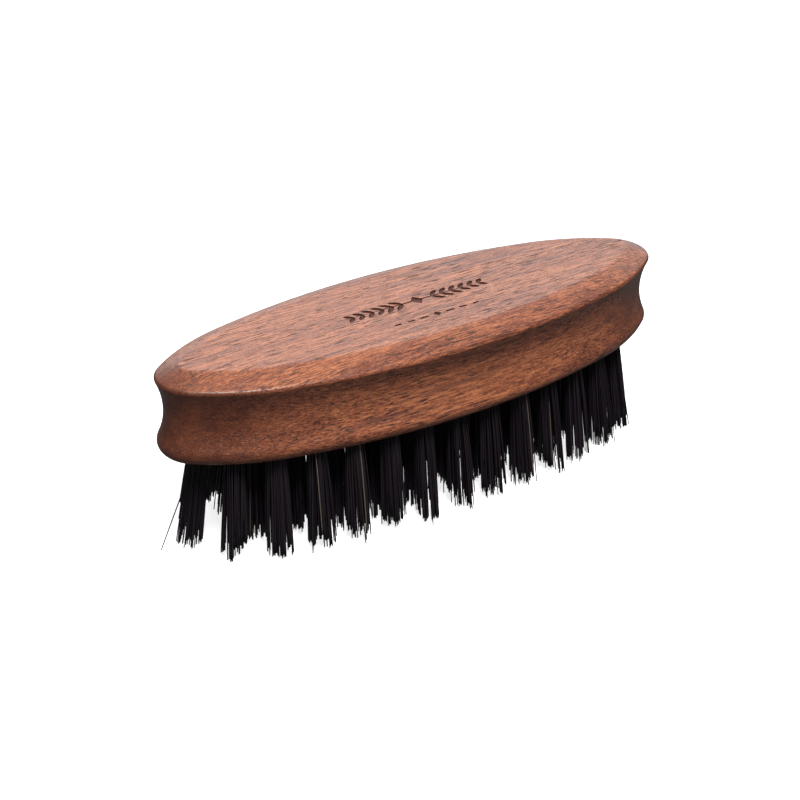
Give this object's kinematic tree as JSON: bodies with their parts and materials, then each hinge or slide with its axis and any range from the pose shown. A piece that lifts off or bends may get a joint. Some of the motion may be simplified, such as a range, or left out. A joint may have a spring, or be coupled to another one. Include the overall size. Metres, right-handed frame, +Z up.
{
  "type": "beard brush",
  "caption": "Oval beard brush with a coved walnut hand block and staggered rings of stiff black bristle tufts, each folded over a wire anchor in a blind bore.",
  "frame": {"origin": "middle of the plane of the bristle tips, which the brush stands on", "axes": "+X along the length of the block, +Y across it, +Z up from the bristle tips to the flat back"},
  "size_m": [0.12, 0.0408, 0.0405],
  "materials": {
    "walnut": "oiled satin walnut",
    "bristle": "stiff black natural bristle",
    "anchor_wire": "drawn flat wire"
  },
  "bodies": {
    "root": {"block": "walnut", "anchors": "anchor_wire", "outer_tuft_01": "bristle", "outer_tuft_02": "bristle", "outer_tuft_03": "bristle", "outer_tuft_04": "bristle", "outer_tuft_05": "bristle", "outer_tuft_06": "bristle", "outer_tuft_07": "bristle", "outer_tuft_08": "bristle", "outer_tuft_09": "bristle", "outer_tuft_10": "bristle", "outer_tuft_11": "bristle", "outer_tuft_12": "bristle", "outer_tuft_13": "bristle", "outer_tuft_14": "bristle", "outer_tuft_15": "bristle", "outer_tuft_16": "bristle", "outer_tuft_17": "bristle", "outer_tuft_18": "bristle", "outer_tuft_19": "bristle", "outer_tuft_20": "bristle", "outer_tuft_21": "bristle", "outer_tuft_22": "bristle", "outer_tuft_23": "bristle", "outer_tuft_24": "bristle", "outer_tuft_25": "bristle", "outer_tuft_26": "bristle", "outer_tuft_27": "bristle", "outer_tuft_28": "bristle", "middle_tuft_01": "bristle", "middle_tuft_02": "bristle", "middle_tuft_03": "bristle", "middle_tuft_04": "bristle", "middle_tuft_05": "bristle", "middle_tuft_06": "bristle", "middle_tuft_07": "bristle", "middle_tuft_08": "bristle", "middle_tuft_09": "bristle", "middle_tuft_10": "bristle", "middle_tuft_11": "bristle", "middle_tuft_12": "bristle", "middle_tuft_13": "bristle", "middle_tuft_14": "bristle", "middle_tuft_15": "bristle", "middle_tuft_16": "bristle", "middle_tuft_17": "bristle", "middle_tuft_18": "bristle", "middle_tuft_19": "bristle", "middle_tuft_20": "bristle", "middle_tuft_21": "bristle", "middle_tuft_22": "bristle", "centre_tuft_01": "bristle", "centre_tuft_02": "bristle", "centre_tuft_03": "bristle", "centre_tuft_04": "bristle", "centre_tuft_05": "bristle", "centre_tuft_06": "bristle", "centre_tuft_07": "bristle", "centre_tuft_08": "bristle"}
  },
  "joints": []
}
